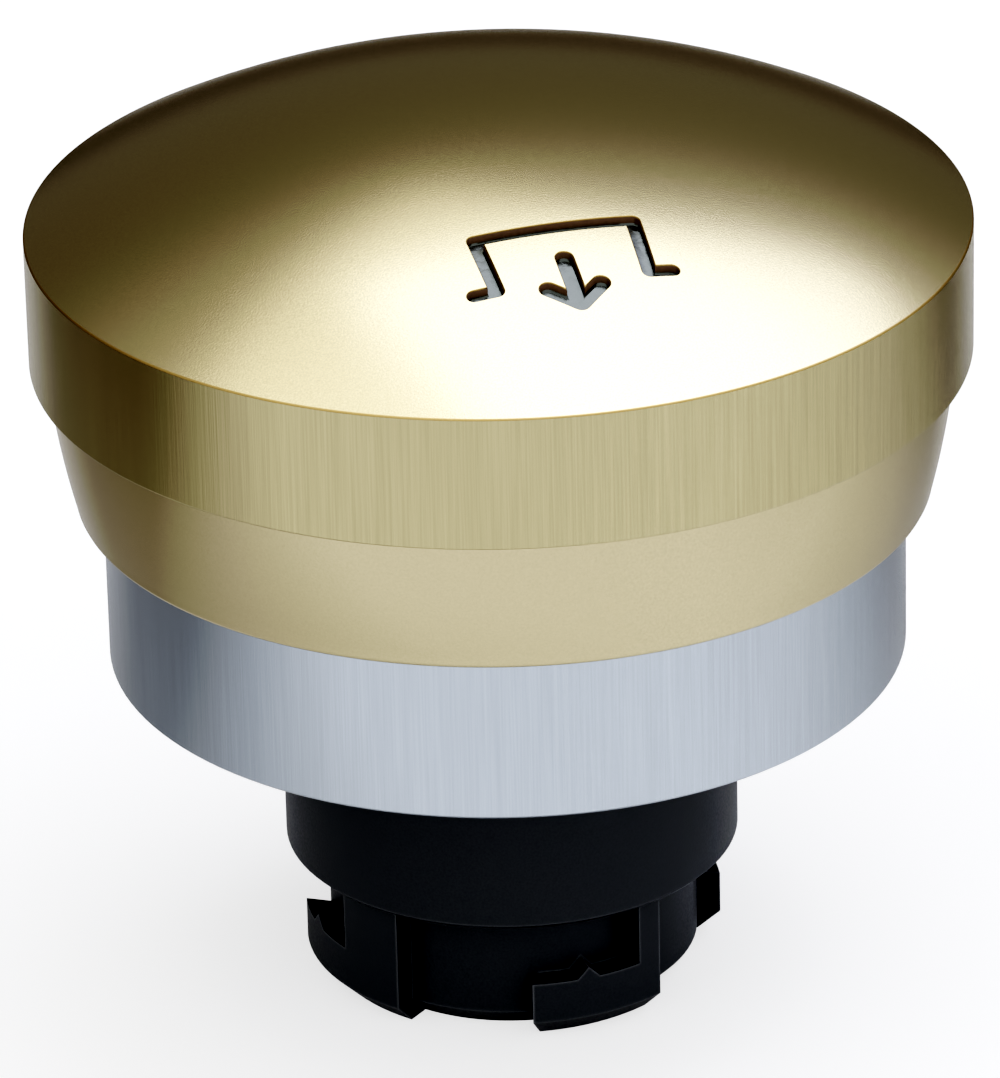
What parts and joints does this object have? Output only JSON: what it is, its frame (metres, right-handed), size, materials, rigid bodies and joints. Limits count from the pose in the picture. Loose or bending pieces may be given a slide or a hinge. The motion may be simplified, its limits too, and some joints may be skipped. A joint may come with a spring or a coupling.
{
  "type": "mushroom push button",
  "caption": "Panel-mount mushroom push button: gold domed cap with an engraved arrow sign, silver front ring and black bayonet housing that fits a 22.3 mm hole.",
  "frame": {"origin": "centre of the front ring's underside, where the collar's axis meets the panel's front face", "axes": "+Z out of the panel, along the button's axis, from the bayonet to the dome; -Y is the side that the pictogram is nearest to; +X to its right"},
  "size_m": [0.045, 0.045, 0.0449],
  "materials": {
    "gold_anodised": "gold anodised, bead-blasted dome and skirt, axially brushed rim",
    "black_enamel": "glossy enamel",
    "silver_anodised": "clear anodised, axially brushed",
    "black_plastic": "moulded glass-filled polyamide, fine matt texture",
    "plunger_plastic": "moulded, satin",
    "foot_plastic": "natural acetal, satin",
    "bush_plastic": "natural acetal, satin",
    "buffer_rubber": "red-brown elastomer",
    "black_rubber": "moulded, matt",
    "brass": "turned",
    "steel": "zinc plated",
    "spring_steel": "bright drawn"
  },
  "bodies": {
    "housing": {"bayonet_housing": "black_plastic", "front_ring": "silver_anodised", "panel_gasket": "black_rubber", "ring_o_ring": "black_rubber", "guide_bush": "bush_plastic", "press_buffer": "buffer_rubber", "return_buffer": "buffer_rubber", "return_spring": "spring_steel", "spring_seat": "steel", "retaining_ring": "spring_steel", "sealing_diaphragm": "black_rubber", "clamp_ring": "steel", "clamp_screws": "steel"},
    "button": {"mushroom_cap": "gold_anodised", "pictogram_fill": "black_enamel", "threaded_insert": "brass", "diaphragm_band": "spring_steel", "plunger": "plunger_plastic", "anti_rotation_pin": "steel", "pusher_foot": "foot_plastic", "cap_screw": "steel", "lock_washer": "spring_steel"}
  },
  "joints": [
    {"name": "cap_press", "type": "slide", "parent": "housing", "child": "button", "axis": [0, 0, -1], "range_m": [0, 0.005], "stiffness_N_per_m": 550, "springref_m": -0.006, "deforming": ["return_spring", "sealing_diaphragm"]}
  ]
}
